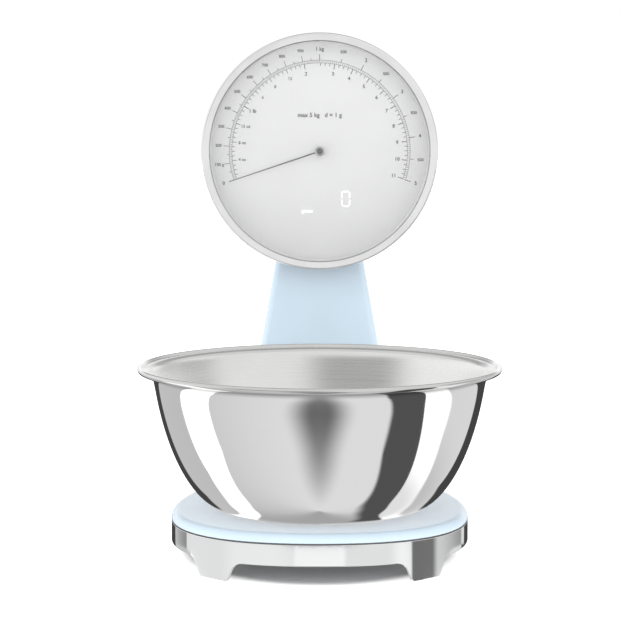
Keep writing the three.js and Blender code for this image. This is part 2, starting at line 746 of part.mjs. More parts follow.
function windowAndDial() {
  place("dial_window", pin(80.6, 3.9, 5.9, 0, 0, 64), "glass", head);
  place("window_seal", turned([[78.8, 6], [80.6, 6], [80.6, 7], [78.8, 7]], 48), "rubber", head);
  place("dial_surround", turned([[78.4, 7.1], [80.6, 7.1], [80.6, 12.4], [77, 12.4]], 56), "dial", head);
  const disc = solidOf(pin(80.4, 12.5, 13.7, 0, 0, 56));
  place("dial_face", cut(disc, pin(2, 10, 16, 0, 0, 20)), "dial", head);
  const carrier = [
    [74.5, 13.8],
    [78.6, 13.8],
    [78.6, 18],
    [76.2, 22],
    [74.5, 22],
  ];
  place("dial_carrier", turned(carrier, 48), "grey", head);
}

function needle() {
  const outline = new THREE.Shape([
    at(0, -NEEDLE.rootHalf),
    at(NEEDLE.tip, -NEEDLE.tipHalf),
    at(NEEDLE.tip, NEEDLE.tipHalf),
    at(0, NEEDLE.rootHalf),
  ]);
  const blade = alongY(outline, NEEDLE.y + 0.2, NEEDLE.y + 0.9);
  const hub = pin(NEEDLE.hubRadius, NEEDLE.y, NEEDLE.y + 1.6, 0, 0, 20);
  const bore = pin(NEEDLE.shaftRadius + 0.1, 0, 20, 0, 0, 12);
  place("needle", cut(join(blade, hub), bore).rotate([0, -NEEDLE.restAngle, 0]), "dark", head);
  const capFront = 6.6;
  const capRear = NEEDLE.y - 0.1;
  const dome = new THREE.CubicBezierCurve(
    at(0, capFront),
    at(0.7 * NEEDLE.capRadius, capFront),
    at(NEEDLE.capRadius, capFront + 0.8),
    at(NEEDLE.capRadius, capRear),
  );
  const profile = [...dome.getPoints(6).map((p) => [p.x, p.y]), [0, capRear]];
  place("needle_cap", turned(profile, 20), "dark", head);
  place("needle_shaft", pin(NEEDLE.shaftRadius, NEEDLE.y, 20.5, 0, 0, 12), "alloy", head);
}

function headElectronics() {
  const motorBody = solidOf(block([-14, 13.9, -19], [14, 21.9, 8]));
  place("needle_motor", cut(motorBody, pin(1, 10, 21, 0, 0, 14)), "dark", head);
  place("digit_display", block([-21, 14, -50], [25, 21.9, -25]), "dark", head);
  const disc = solidOf(pin(76, 22.1, 23.7, 0, 0, 56));
  const holes = HEAD_SCREWS.map(([x, z]) => pin(1.8, 20, 26, x, z, 12));
  place("display_board", cut(disc, ...holes), "board", head);
  const sheet = block([-29.5, 25.4, BUTTONS.z - 8], [29.5, 27, BUTTONS.z + 8]);
  const switches = BUTTONS.names.map((_, i) =>
    block([buttonX(i) - 3, 26.8, BUTTONS.z - 3], [buttonX(i) + 3, 29.8, BUTTONS.z + 3]),
  );
  place("button_board", join(sheet, ...switches), "board", head);
}

function buttons() {
  const { radius, flange } = BUTTONS;
  const profile = [
    [0, 31],
    [flange, 31],
    [flange, 32.4],
    [radius, 32.4],
    [radius, 36],
    [radius - 0.6, 36.6],
    [0, 36.6],
  ];
  BUTTONS.names.forEach((name, i) => {
    const button = place(`button_${name}`, turned(profile, 20), "chrome", head);
    button.position.set(buttonX(i), 0, BUTTONS.z);
  });
}

// ---------------------------------------------------------------- assembly

baseSkirt();
bottomCover();
rubberFeet();
chassis();
loadCell();
mainBoard();
wires();
weighingPlate();
plateBracket();
bowl();
columnShells();
spine();
batteryBay();
headShell();
bezel();
windowAndDial();
needle();
headElectronics();
buttons();

export default scale;
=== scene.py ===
"""Looks of the kitchen scale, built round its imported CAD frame. Metres, +Z up, the dial faces -Y."""

import json
import math

import bmesh
import bpy
import numpy as np
from mathutils import Matrix, Vector

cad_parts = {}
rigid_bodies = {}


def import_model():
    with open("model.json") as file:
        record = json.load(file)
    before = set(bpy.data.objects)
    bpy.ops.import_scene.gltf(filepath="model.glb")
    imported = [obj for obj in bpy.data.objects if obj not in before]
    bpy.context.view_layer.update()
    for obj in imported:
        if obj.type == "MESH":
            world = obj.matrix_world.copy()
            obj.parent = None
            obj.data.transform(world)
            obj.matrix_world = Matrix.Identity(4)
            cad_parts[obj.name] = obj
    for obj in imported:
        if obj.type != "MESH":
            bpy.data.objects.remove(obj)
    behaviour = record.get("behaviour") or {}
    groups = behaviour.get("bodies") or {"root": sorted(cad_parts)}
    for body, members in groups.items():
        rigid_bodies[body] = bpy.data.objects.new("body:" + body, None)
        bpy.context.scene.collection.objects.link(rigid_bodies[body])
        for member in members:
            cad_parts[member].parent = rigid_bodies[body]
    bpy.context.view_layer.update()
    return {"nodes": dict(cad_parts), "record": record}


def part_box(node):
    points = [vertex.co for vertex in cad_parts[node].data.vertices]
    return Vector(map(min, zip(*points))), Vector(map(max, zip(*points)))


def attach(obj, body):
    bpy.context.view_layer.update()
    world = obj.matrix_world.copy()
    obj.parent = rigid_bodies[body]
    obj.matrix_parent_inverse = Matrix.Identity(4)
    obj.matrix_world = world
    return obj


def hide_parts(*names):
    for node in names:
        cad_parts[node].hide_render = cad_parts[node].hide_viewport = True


MM = 0.001
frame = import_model()
nodes = frame["nodes"]

# ------------------------------------------------------------------ sizes, from the frame

BOWL_LOW, BOWL_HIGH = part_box("bowl")
BOWL_Y = (BOWL_LOW.y + BOWL_HIGH.y) / 2
BEZEL_LOW, BEZEL_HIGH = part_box("bezel_ring")
HEAD_X = 0.0
HEAD_Z = (BEZEL_LOW.z + BEZEL_HIGH.z) / 2
BEZEL_RADIUS = (BEZEL_HIGH.z - BEZEL_LOW.z) / 2
DIAL_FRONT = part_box("dial_face")[0].y
SKIRT_LOW, SKIRT_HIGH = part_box("base_skirt")
PLATE_LOW, PLATE_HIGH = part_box("weighing_plate")

# ------------------------------------------------------------------ camera

CAMERA_DISTANCE = 1.445
CAMERA_HEIGHT = 0.3092
CAMERA_PITCH = 5.75
SENSOR = 36.0
LENS = 128.36
SIDE_SHIFT = -0.01565

camera_data = bpy.data.cameras.new("camera")
camera_data.sensor_width = SENSOR
camera_data.lens = LENS
camera_data.shift_x = SIDE_SHIFT
camera = bpy.data.objects.new("camera", camera_data)
camera.location = (0, BOWL_Y - CAMERA_DISTANCE, CAMERA_HEIGHT)
camera.rotation_euler = (math.radians(90 - CAMERA_PITCH), 0, 0)
bpy.context.scene.collection.objects.link(camera)
bpy.context.scene.camera = camera
bpy.context.scene.view_settings.view_transform = "Standard"

# ------------------------------------------------------------------ node helpers


def math_node(tree, operation, *values):
    """A Math node; each value is a number or another node's socket."""
    node = tree.nodes.new("ShaderNodeMath")
    node.operation = operation
    for socket, value in zip(node.inputs, values):
        if isinstance(value, (int, float)):
            socket.default_value = value
        else:
            tree.links.new(value, socket)
    return node.outputs[0]


def step(tree, value, low, high):
    """0 below low, 1 above high, and smooth between them."""
    node = tree.nodes.new("ShaderNodeMapRange")
    node.interpolation_type = "SMOOTHSTEP"
    node.inputs["From Min"].default_value = low
    node.inputs["From Max"].default_value = high
    tree.links.new(value, node.inputs["Value"])
    return node.outputs[0]


def band(tree, value, low, high, soft):
    """1 between low and high, 0 outside, with edges as wide as 2 soft."""
    rise = step(tree, value, low - soft, low + soft)
    fall = step(tree, value, high - soft, high + soft)
    return math_node(tree, "MULTIPLY", rise, math_node(tree, "SUBTRACT", 1, fall))


def blend_to(tree, value, target, mask):
    """value where mask is 0, target where it is 1."""
    node = tree.nodes.new("ShaderNodeMix")
    for socket, source in zip((node.inputs[0], node.inputs[2], node.inputs[3]), (mask, value, target)):
        if isinstance(source, (int, float)):
            socket.default_value = source
        else:
            tree.links.new(source, socket)
    return node.outputs[0]


# ------------------------------------------------------------------ studio

# Everything that polished metal sees is placed by azimuth (degrees from straight in front, to the
# right) and by degrees below the horizon. A card hangs from its near azimuth on, and is deepest at
# its middle; its lower edge curls up with the two rates before and after the middle.
FLAG = {"near": 53.5, "middle": 108, "depth": 72, "curls": (2e-4, 9.5e-5), "soft": 2.2}
RIGHT_STRIP = {"near": 77, "middle": 127, "depth": 58, "curls": (3.5e-4, 2.9e-4), "soft": 0.5}
LEFT_STRIP = {"near": 86.5, "middle": 127, "depth": 58, "curls": (3.5e-4, 2.9e-4), "soft": 0.5}
RIGHT_REAR = {"near": 107.5, "middle": 140, "depth": 44, "curls": (5e-4, 6e-4), "soft": 1.2}
LEFT_REAR = {"near": 116, "middle": 140, "depth": 45, "curls": (7e-4, 7e-4), "soft": 0.7}
RIGHT_DARK = {"near": 144.5, "middle": 150, "depth": 30, "curls": (3e-4, 1e-3), "soft": 0.8}
LEFT_DARK = {"near": 151.5, "middle": 154, "depth": 30, "curls": (3e-4, 2e-3), "soft": 0.8}
FLAG_LEVEL, WEDGE_LEVEL, DARK_LEVEL = 0.09, 0.08, 0.06
# A band is a level between two azimuths, with soft edges: (level, first, last, soft).
UPPER_BANDS = [(0.42, -60, 4, 12), (0.58, 84, 122, 8), (0.7, 122, 152, 8), (1.12, -150, -75, 9)]
BELT_BANDS = [(0.88, -62, -12, 12), (0.96, -12, 12, 1.5), (0.95, 46, 62, 7)]
UPPER_LEVEL, BELT_LEVEL, BELT_DARK = 0.97, 0.79, 0.17
ABOVE_RIM_LEVEL, ABOVE_PLATE_LEVEL = 0.52, 1.25
RIGHT_STRIP_LEVEL, LEFT_STRIP_LEVEL = 1.3, 1.6
RIGHT_REAR_LEVEL, LEFT_REAR_LEVEL, REAR_FOOT_LEVEL = 0.76, 0.58, 0.42
HORIZON_LEVEL = 0.95
REAR_FILL, FRONT_FILL, BACKDROP = 0.84, 1.19, 1.02


def product(tree, *values):
    """All the values multiplied."""
    total = values[0]
    for value in values[1:]:
        total = math_node(tree, "MULTIPLY", total, value)
    return total


def inverse(tree, value):
    return math_node(tree, "SUBTRACT", 1, value)


def card(tree, side, below, near, middle, depth, curls, soft):
    """1 where a card hangs: from the azimuth near on, down to a lower edge that is deepest at middle.

    The edge rises with the cube of the way from middle, at a rate of its own before and after it."""
    off_middle = math_node(tree, "ABSOLUTE", math_node(tree, "SUBTRACT", side, middle))
    curl = blend_to(tree, *curls, step(tree, side, middle - 0.1, middle + 0.1))
    raised = product(tree, math_node(tree, "POWER", off_middle, 3), curl)
    bottom = math_node(tree, "ADD", below, raised)
    inside = inverse(tree, step(tree, bottom, depth - 1.6 * soft, depth + 1.6 * soft))
    return product(tree, inside, step(tree, side, near - soft, near + soft))


def with_bands(tree, azimuth, level, bands):
    """A level, with each of the bands laid over it in turn."""
    for target, first, last, soft in bands:
        level = blend_to(tree, level, target, band(tree, azimuth, first, last, soft))
    return level


def levels_above(tree, azimuth, below):
    """Above the horizon, as the inside of the bowl, the rim and the plate see it."""
    level = with_bands(tree, azimuth, UPPER_LEVEL, UPPER_BANDS)
    level = blend_to(tree, HORIZON_LEVEL, level, band(tree, below, -25, -3, 2))
    rearward = step(tree, math_node(tree, "ABSOLUTE", azimuth), 140, 160)
    above_rim = product(tree, rearward, band(tree, below, -70, -16, 2))
    above_plate = product(tree, rearward, band(tree, below, -13.5, -6, 1))
    level = blend_to(tree, level, ABOVE_RIM_LEVEL, above_rim)
    return blend_to(tree, level, ABOVE_PLATE_LEVEL, above_plate)


def levels_level(tree, azimuth):
    """The thin belt that the upright skirt sees: a bright window in front, dark strips at both sides."""
    level = with_bands(tree, azimuth, BELT_LEVEL, BELT_BANDS)
    level = blend_to(tree, level, BELT_DARK, step(tree, azimuth, 61, 64.5))
    falling = blend_to(tree, 0.62, 0.33, step(tree, azimuth, 97, 143))
    level = blend_to(tree, level, falling, step(tree, azimuth, 88, 98))
    level = blend_to(tree, level, 0.73, step(tree, azimuth, 142, 146))
    left = math_node(tree, "MULTIPLY", azimuth, -1)
    rising = blend_to(tree, 0.28, 0.58, step(tree, left, 124, 160))
    return blend_to(tree, level, rising, step(tree, left, 123, 124.2))


def levels_below(tree, azimuth, below):
    """What the bowl's side sees: a dim middle, a dark flag on the right, a bright strip on each side."""
    left = math_node(tree, "MULTIPLY", azimuth, -1)
    off_axis = math_node(tree, "ABSOLUTE", azimuth)
    level = blend_to(tree, 0.82, 0.56, step(tree, left, 10, 160))
    level = blend_to(tree, level, 0.7, step(tree, azimuth, 70, 150))
    at_foot = product(tree, step(tree, off_axis, 118, 176), step(tree, below, 26, 48))
    level = blend_to(tree, level, REAR_FOOT_LEVEL, at_foot)

    narrowed = math_node(tree, "MULTIPLY", step(tree, below, 24, 44), 6)
    spread = math_node(tree, "ADD", off_axis, narrowed)
    wedge = inverse(tree, step(tree, spread, 6, 30))
    fade = inverse(tree, step(tree, below, 22, 88))
    level = blend_to(tree, level, WEDGE_LEVEL, product(tree, wedge, fade, 0.92))

    ends = inverse(tree, step(tree, off_axis, 168, 176))
    flag = product(tree, card(tree, azimuth, below, **FLAG), ends)
    level = blend_to(tree, level, FLAG_LEVEL, flag)
    dimmed = math_node(tree, "MULTIPLY", step(tree, below, 34, 52), 0.45)
    right_strip = math_node(tree, "SUBTRACT", RIGHT_STRIP_LEVEL, dimmed)
    strip = product(tree, card(tree, azimuth, below, **RIGHT_STRIP), ends)
    level = blend_to(tree, level, right_strip, strip)
    strip = product(tree, card(tree, left, below, **LEFT_STRIP), ends)
    level = blend_to(tree, level, LEFT_STRIP_LEVEL, strip)

    dimmed = math_node(tree, "MULTIPLY", step(tree, below, 20, 44), 0.18)
    right_rear = math_node(tree, "SUBTRACT", RIGHT_REAR_LEVEL, dimmed)
    level = blend_to(tree, level, right_rear, card(tree, azimuth, below, **RIGHT_REAR))
    level = blend_to(tree, level, LEFT_REAR_LEVEL, card(tree, left, below, **LEFT_REAR))
    level = blend_to(tree, level, DARK_LEVEL, card(tree, azimuth, below, **RIGHT_DARK))
    return blend_to(tree, level, DARK_LEVEL, card(tree, left, below, **LEFT_DARK))


def studio_world():
    """A white room. Polished metal sees strip lights, a dark flag and the dark behind the object instead."""
    world = bpy.data.worlds.new("studio")
    bpy.context.scene.world = world
    world.use_nodes = True
    tree = world.node_tree
    tree.nodes.clear()
    direction = tree.nodes.new("ShaderNodeTexCoord").outputs["Generated"]
    split = tree.nodes.new("ShaderNodeSeparateXYZ")
    tree.links.new(direction, split.inputs[0])
    x, y, z = split.outputs
    degrees = 180 / math.pi
    toward = math_node(tree, "MULTIPLY", y, -1)
    azimuth = math_node(tree, "MULTIPLY", math_node(tree, "ARCTAN2", x, toward), degrees)
    below = math_node(tree, "MULTIPLY", math_node(tree, "ARCSINE", z), -degrees)

    upper = levels_above(tree, azimuth, below)
    lower = levels_below(tree, azimuth, below)
    level = blend_to(tree, upper, lower, step(tree, below, 6, 9))
    off_axis = math_node(tree, "ABSOLUTE", azimuth)
    belt_middle = blend_to(tree, 12.6, 11.4, step(tree, off_axis, 0, 170))
    off_belt = math_node(tree, "ABSOLUTE", math_node(tree, "SUBTRACT", below, belt_middle))
    half_belt = blend_to(tree, 1.15, 0.4, step(tree, off_axis, 84, 128))
    in_belt = math_node(tree, "LESS_THAN", off_belt, half_belt)
    belt = product(tree, in_belt, inverse(tree, step(tree, off_axis, 152, 153)))
    level = blend_to(tree, level, levels_level(tree, azimuth), belt)

    path = tree.nodes.new("ShaderNodeLightPath")
    fill = blend_to(tree, REAR_FILL, FRONT_FILL, step(tree, toward, -0.5, 0.5))
    level = blend_to(tree, fill, level, path.outputs["Is Glossy Ray"])
    level = blend_to(tree, level, BACKDROP, path.outputs["Is Camera Ray"])
    background = tree.nodes.new("ShaderNodeBackground")
    tree.links.new(level, background.inputs["Color"])
    output = tree.nodes.new("ShaderNodeOutputWorld")
    tree.links.new(background.outputs[0], output.inputs["Surface"])


def softbox(name, place, target, size, power):
    """An area light that shines on a point but isn't seen in polished metal."""
    light = bpy.data.lights.new(name, "AREA")
    light.shape = "RECTANGLE"
    light.size, light.size_y = size
    light.energy = power
    lamp = bpy.data.objects.new(name, light)
    lamp.location = place
    lamp.rotation_euler = (Vector(target) - Vector(place)).to_track_quat("-Z", "Y").to_euler()
    lamp.visible_glossy = False
    bpy.context.scene.collection.objects.link(lamp)


studio_world()
softbox("key", (-0.5, -0.9, 1.5), (0, 0, 0.1), (1.3, 0.9), 2.5)
softbox("top", (0.1, 0.3, 1.6), (0, 0, 0), (1.4, 1.2), 1)

# ------------------------------------------------------------------ materials


def linear(*rgb):
    """A colour from its 0 to 255 screen values."""
    out = []
    for value in rgb:
        c = value / 255
        out.append(c / 12.92 if c <= 0.04045 else ((c + 0.055) / 1.055) ** 2.4)
    return out


class Surface:
    """A Principled material whose colour, roughness and relief come from noise."""

    def __init__(self, name, **sockets):
        self.material = bpy.data.materials.new(name)
        self.material.use_nodes = True
        self.tree = self.material.node_tree
        self.shader = self.tree.nodes["Principled BSDF"]
        for socket, value in sockets.items():
            self.shader.inputs[socket.replace("_", " ")].default_value = value
        coordinates = self.tree.nodes.new("ShaderNodeTexCoord")
        self.place = coordinates.outputs["Object"]

    def stretched(self, scale):
        mapping = self.tree.nodes.new("ShaderNodeMapping")
        mapping.inputs["Scale"].default_value = scale
        self.tree.links.new(self.place, mapping.inputs["Vector"])
        return mapping.outputs[0]

    def around_axis(self):
        """Coordinates that run across rings about local Z, for spun metal."""
        split = self.tree.nodes.new("ShaderNodeSeparateXYZ")
        self.tree.links.new(self.place, split.inputs[0])
        flat = self.tree.nodes.new("ShaderNodeCombineXYZ")
        self.tree.links.new(split.outputs[0], flat.inputs[0])
        self.tree.links.new(split.outputs[1], flat.inputs[1])
        length = self.tree.nodes.new("ShaderNodeVectorMath")
        length.operation = "LENGTH"
        self.tree.links.new(flat.outputs[0], length.inputs[0])
        rings = self.tree.nodes.new("ShaderNodeCombineXYZ")
        self.tree.links.new(length.outputs["Value"], rings.inputs[0])
        self.tree.links.new(split.outputs[2], rings.inputs[1])
        return rings.outputs[0]

    def noise(self, scale, detail=3, where=None):
        node = self.tree.nodes.new("ShaderNodeTexNoise")
        node.inputs["Scale"].default_value = scale
        node.inputs["Detail"].default_value = detail
        self.tree.links.new(where or self.place, node.inputs["Vector"])
        return node.outputs["Fac"]

    def colour(self, factor, first, second, low=0.35, high=0.65):
        ramp = self.tree.nodes.new("ShaderNodeValToRGB")
        ramp.color_ramp.elements[0].position = low
        ramp.color_ramp.elements[1].position = high
        ramp.color_ramp.elements[0].color = (*first, 1)
        ramp.color_ramp.elements[1].color = (*second, 1)
        self.tree.links.new(factor, ramp.inputs[0])
        self.tree.links.new(ramp.outputs[0], self.shader.inputs["Base Color"])
        return self

    def roughness(self, factor, low, high):
        node = self.tree.nodes.new("ShaderNodeMapRange")
        node.inputs["From Min"].default_value = 0.3
        node.inputs["From Max"].default_value = 0.7
        node.inputs["To Min"].default_value = low
        node.inputs["To Max"].default_value = high
        self.tree.links.new(factor, node.inputs["Value"])
        self.tree.links.new(node.outputs[0], self.shader.inputs["Roughness"])
        return self

    def relief(self, factor, strength, distance=0.0002):
        node = self.tree.nodes.new("ShaderNodeBump")
        node.inputs["Strength"].default_value = strength
        node.inputs["Distance"].default_value = distance
        self.tree.links.new(factor, node.inputs["Height"])
        self.tree.links.new(node.outputs[0], self.shader.inputs["Normal"])
        return self


def moulded(name, rgb, rough, grain=900, shift=0.06, relief=0.12, **sockets):
    """Plastic, paint or rubber: a fine grain, and a slow drift of shade."""
    surface = Surface(name, **sockets)
    drift = surface.noise(35)
    fine = surface.noise(grain, 2)
    dark = [c * (1 - shift) for c in rgb]
    light = [min(1, c * (1 + shift)) for c in rgb]
    surface.colour(drift, dark, light)
    surface.roughness(fine, rough * 0.85, min(1, rough * 1.2))
    surface.relief(fine, relief)
    return surface.material


def metal(name, rgb, rough, grain=1400, stretch=(1, 1, 1), shift=0.03, relief=0.03, **sockets):
    """Bare or plated metal: fine marks, drawn out along one way by stretch."""
    surface = Surface(name, Metallic=1.0, **sockets)
    drawn = surface.noise(grain, 2, surface.stretched(stretch))
    wiped = surface.noise(28)
    surface.colour(wiped, [c * (1 - shift) for c in rgb], [min(1, c * (1 + shift)) for c in rgb])
    surface.roughness(drawn, rough * 0.7, rough * 1.4)
    surface.relief(drawn, relief, 0.00004)
    return surface.material


def spun_steel():
    """The inside of the bowl: satin, with fine rings from spinning."""
    surface = Surface("spun_steel", Metallic=1.0)
    rings = surface.noise(1500, 4, surface.around_axis())
    cloudy = surface.noise(24)
    surface.colour(cloudy, (0.74, 0.74, 0.735), (0.78, 0.78, 0.77))
    surface.roughness(rings, 0.22, 0.32)
    surface.relief(rings, 0.08, 0.00005)
    return surface.material


def brimmed_steel():
    """The outside of the bowl: mirror polish, and painted shade just under the brim, where the colour
    darkens.
    """
    surface = Surface("polished_steel", Metallic=1.0)
    split = surface.tree.nodes.new("ShaderNodeSeparateXYZ")
    surface.tree.links.new(surface.place, split.inputs[0])
    # Painted shade: under the brim the colour falls from 0.86 to 0.26, while the roughness stays that of the
    # mirror polish.
    brim_shade_from, brim_shade_to = BOWL_HIGH.z - 8.5 * MM, BOWL_HIGH.z - 4 * MM
    brim_painted_shade = step(surface.tree, split.outputs[2], brim_shade_from, brim_shade_to)
    surface.colour(brim_painted_shade, (0.86, 0.86, 0.86), (0.26, 0.26, 0.26), 0, 1)
    surface.roughness(surface.noise(1400, 2, surface.stretched((1, 1, 0.3))), 0.028, 0.055)
    return surface.material


def circuit_green():
    """A circuit board: solder resist over tracks."""
    surface = Surface("circuit_green", Roughness=0.35)
    brick = surface.tree.nodes.new("ShaderNodeTexBrick")
    brick.inputs["Scale"].default_value = 260
    brick.inputs["Mortar Size"].default_value = 0.06
    brick.inputs["Color1"].default_value = (0.03, 0.2, 0.09, 1)
    brick.inputs["Color2"].default_value = (0.02, 0.15, 0.07, 1)
    brick.inputs["Mortar"].default_value = (0.06, 0.32, 0.16, 1)
    surface.tree.links.new(surface.place, brick.inputs["Vector"])
    surface.tree.links.new(brick.outputs["Color"], surface.shader.inputs["Base Color"])
    surface.relief(brick.outputs["Fac"], 0.3)
    return surface.material


def banded_jacket():
    """The printed film on a dry cell: two colours, split near one end."""
    surface = Surface("banded_jacket", Metallic=0.35)
    split = surface.tree.nodes.new("ShaderNodeSeparateXYZ")
    surface.tree.links.new(surface.place, split.inputs[0])
    second_half = step(surface.tree, split.outputs[0], 8.8 * MM, 9.2 * MM)
    surface.colour(second_half, (0.04, 0.1, 0.24), (0.55, 0.3, 0.1))
    fine = surface.noise(700)
    surface.roughness(fine, 0.25, 0.38)
    surface.relief(fine, 0.05)
    return surface.material


CLEAR_COAT = {"Coat_Weight": 0.2, "Coat_Roughness": 0.12}
PASTEL = linear(208, 226, 240)
LOOKS = {
    "chrome": metal("chrome_plate", (0.93, 0.935, 0.94), 0.035, shift=0.01, relief=0.01),
    "bowl_steel": brimmed_steel(),
    "pastel_gloss": moulded("pastel_gloss", PASTEL, 0.22, 160, 0.012, 0, **CLEAR_COAT),
    "dial_white": moulded("dial_lacquer", linear(212, 212, 212), 0.5, 1500, 0.012, 0.03),
    "clear_window": moulded("clear_window", (0.95, 0.97, 0.97), 0.02, 300, 0.01, 0.0, Alpha=0.06),
    "needle_black": moulded("needle_lacquer", (0.03, 0.03, 0.032), 0.25, 1200, 0.1, 0.04),
    "dark_plastic": moulded("dark_plastic", (0.03, 0.03, 0.033), 0.45, 900, 0.15, 0.2),
    "black_rubber": moulded("black_rubber", (0.02, 0.02, 0.02), 0.8, 1200, 0.2, 0.4),
    "grey_plastic": moulded("grey_plastic", linear(150, 152, 154), 0.55, 700, 0.05, 0.35),
    "circuit_board": circuit_green(),
    "cell_alloy": metal("milled_alloy", (0.72, 0.73, 0.75), 0.3, 500, (1, 14, 14), 0.05, 0.2),
    "bright_steel": metal("bright_steel", (0.72, 0.73, 0.75), 0.18, 900, (1, 0.2, 1), 0.04, 0.1),
    "zinc_steel": metal("zinc_steel", (0.62, 0.64, 0.66), 0.32, 260, (1, 1, 1), 0.12, 0.12),
    "cell_jacket": banded_jacket(),
    "cable_sheath": moulded("cable_sheath", (0.025, 0.025, 0.03), 0.5, 1000, 0.1, 0.2),
}
SPUN_STEEL = spun_steel()
# The bowl's lip and bead: their roughness is their own satin and polish, and their colour is darker than the
# rest of the bowl's steel, as painted shade.
SATIN_LIP_PAINTED_SHADE = metal("satin_lip_painted_shade", (0.64, 0.64, 0.635), 0.19, 60, (1, 1, 0.3), 0.02, 0.001)
BEAD_PAINTED_SHADE = metal("bead_painted_shade", (0.64, 0.64, 0.635), 0.1, 60, (1, 1, 0.3), 0.02, 0)
RING_CHROME = metal("ring_chrome", (0.86, 0.86, 0.86), 0.12, 40, (1, 1, 1), 0.01, 0)
# Darker copies of the ring's chrome, for its side and its groove: painted shade.
RING_SIDE_PAINTED_SHADE = metal("ring_side_painted_shade", (0.56, 0.56, 0.56), 0.15, 40, (1, 1, 1), 0.01, 0)
RING_GROOVE_PAINTED_SHADE = metal("ring_groove_painted_shade", (0.46, 0.46, 0.46), 0.3, 40, (1, 1, 1), 0.01, 0)
PRINT_DARK = moulded("print_dark", linear(70, 70, 72), 0.5, 1500, 0.08, 0.02)
PRINT_FINE = moulded("print_fine", linear(80, 80, 82), 0.5, 1500, 0.08, 0.02)
WHITE_GLOW = {"Emission_Color": (1, 1, 1, 1), "Emission_Strength": 0.5}
LIT = moulded("lit_segment", (0.9, 0.9, 0.9), 0.4, 900, 0.03, 0.0, **WHITE_GLOW)

# ------------------------------------------------------------------ mesh helpers


def piece(name, vertices, faces, slot, body="root", replaces=(), sharp=35):
    """A new mesh piece that rides on a body, and takes its finish from a slot."""
    mesh = bpy.data.meshes.new(name)
    mesh.from_pydata([tuple(v) for v in vertices], [], faces)
    mesh.validate()
    cleaned = bmesh.new()
    cleaned.from_mesh(mesh)
    bmesh.ops.recalc_face_normals(cleaned, faces=cleaned.faces)
    cleaned.to_mesh(mesh)
    cleaned.free()
    mesh.shade_smooth()
    mesh.set_sharp_from_angle(angle=math.radians(sharp))
    mesh.materials.append(LOOKS[slot])
    made = bpy.data.objects.new(name, mesh)
    bpy.context.scene.collection.objects.link(made)
    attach(made, body)
    if replaces:
        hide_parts(*replaces)
    return made


def even_normals(made):
    """Large faces keep their own direction, so that only the rounded edges bend a reflection."""
    made.modifiers.new("even_normals", "WEIGHTED_NORMAL").keep_sharp = True


def rounded(corners, radius, steps=4):
    """A closed section with each corner rounded; a corner can have its own radius as a third number."""
    out = []
    for i, corner in enumerate(corners):
        here = Vector(corner[:2])
        back = Vector(corners[i - 1][:2]) - here
        ahead = Vector(corners[(i + 1) % len(corners)][:2]) - here
        reach = min(corner[2] if len(corner) > 2 else radius, back.length * 0.45, ahead.length * 0.45)
        if reach < 1e-6:
            out.append(here)
            continue
        start = here + back.normalized() * reach
        end = here + ahead.normalized() * reach
        for k in range(steps + 1):
            t = k / steps
            out.append(start * (1 - t) ** 2 + here * 2 * t * (1 - t) + end * t * t)
    return out


def turned(name, section, centre, axis, slot, sides=192, **ride):
    """A closed [radius, height] section turned about the Y or Z axis through centre."""
    vertices = []
    faces = []
    count = len(section)
    for i in range(sides):
        angle = 2 * math.pi * i / sides
        for radius, height in section:
            across, along = radius * math.cos(angle), radius * math.sin(angle)
            local = (across, height, along) if axis == "Y" else (across, along, height)
            vertices.append(Vector(local) + Vector(centre))
        for j in range(count):
            a, b = i * count + j, i * count + (j + 1) % count
            shift = count if i < sides - 1 else -i * count
            faces.append((a, b, b + shift, a + shift))
    made = piece(name, vertices, faces, slot, **ride)
    weld(made.data)
    return made


def weld(mesh):
    """Joins vertices that lie on one point, as those on a turned piece's axis do."""
    joined = bmesh.new()
    joined.from_mesh(mesh)
    bmesh.ops.remove_doubles(joined, verts=joined.verts, dist=1e-7)
    bmesh.ops.recalc_face_normals(joined, faces=joined.faces)
    joined.to_mesh(mesh)
    joined.free()


def bezier(points, count):
    """Points of a cubic curve."""
    t = np.linspace(0, 1, count)[:, None]
    a, b, c, d = (np.array(p, float) for p in points)
    return a * (1 - t) ** 3 + 3 * b * t * (1 - t) ** 2 + 3 * c * t**2 * (1 - t) + d * t**3


def evenly(points, spacing):
    """Points at an even spacing round a closed outline."""
    closed = np.vstack([points, points[:1]])
    run = np.concatenate([[0], np.cumsum(np.linalg.norm(np.diff(closed, axis=0), axis=1))])
    marks = np.linspace(0, run[-1], int(run[-1] / spacing), endpoint=False)
    return np.column_stack([np.interp(marks, run, closed[:, k]) for k in (0, 1)])


def inward(points):
    """The inward normal at each point of a counter-clockwise outline."""
    along = np.roll(points, -1, axis=0) - np.roll(points, 1, axis=0)
    along /= np.linalg.norm(along, axis=1)[:, None]
    return np.column_stack([-along[:, 1], along[:, 0]])


def mirrored(half):
    """A right half, front to rear, and its mirror image."""
    left = half[1:-1][::-1] * [-1, 1]
    return np.vstack([half, left])


# ------------------------------------------------------------------ base outline

WIDEST_Y = -26 * MM
DRAW_IN = (60.5 * MM, 100 * MM)


def base_halves():
    """The right half of the base's outline in three curves: its front, its side drawing in, its rear."""
    wide, front, rear = SKIRT_HIGH.x, SKIRT_LOW.y, SKIRT_HIGH.y
    turn_in = WIDEST_Y - 0.556 * (WIDEST_Y - front)
    front_part = bezier([(0, front), (0.733 * wide, front), (wide, turn_in), (wide, WIDEST_Y)], 200)
    side_part = bezier([(wide, WIDEST_Y), (wide, 22 * MM), (78.8 * MM, 50 * MM), DRAW_IN], 200)
    rear_part = bezier([DRAW_IN, (55 * MM, 115 * MM), (44 * MM, rear), (0, rear)], 120)
    return front_part, side_part, rear_part


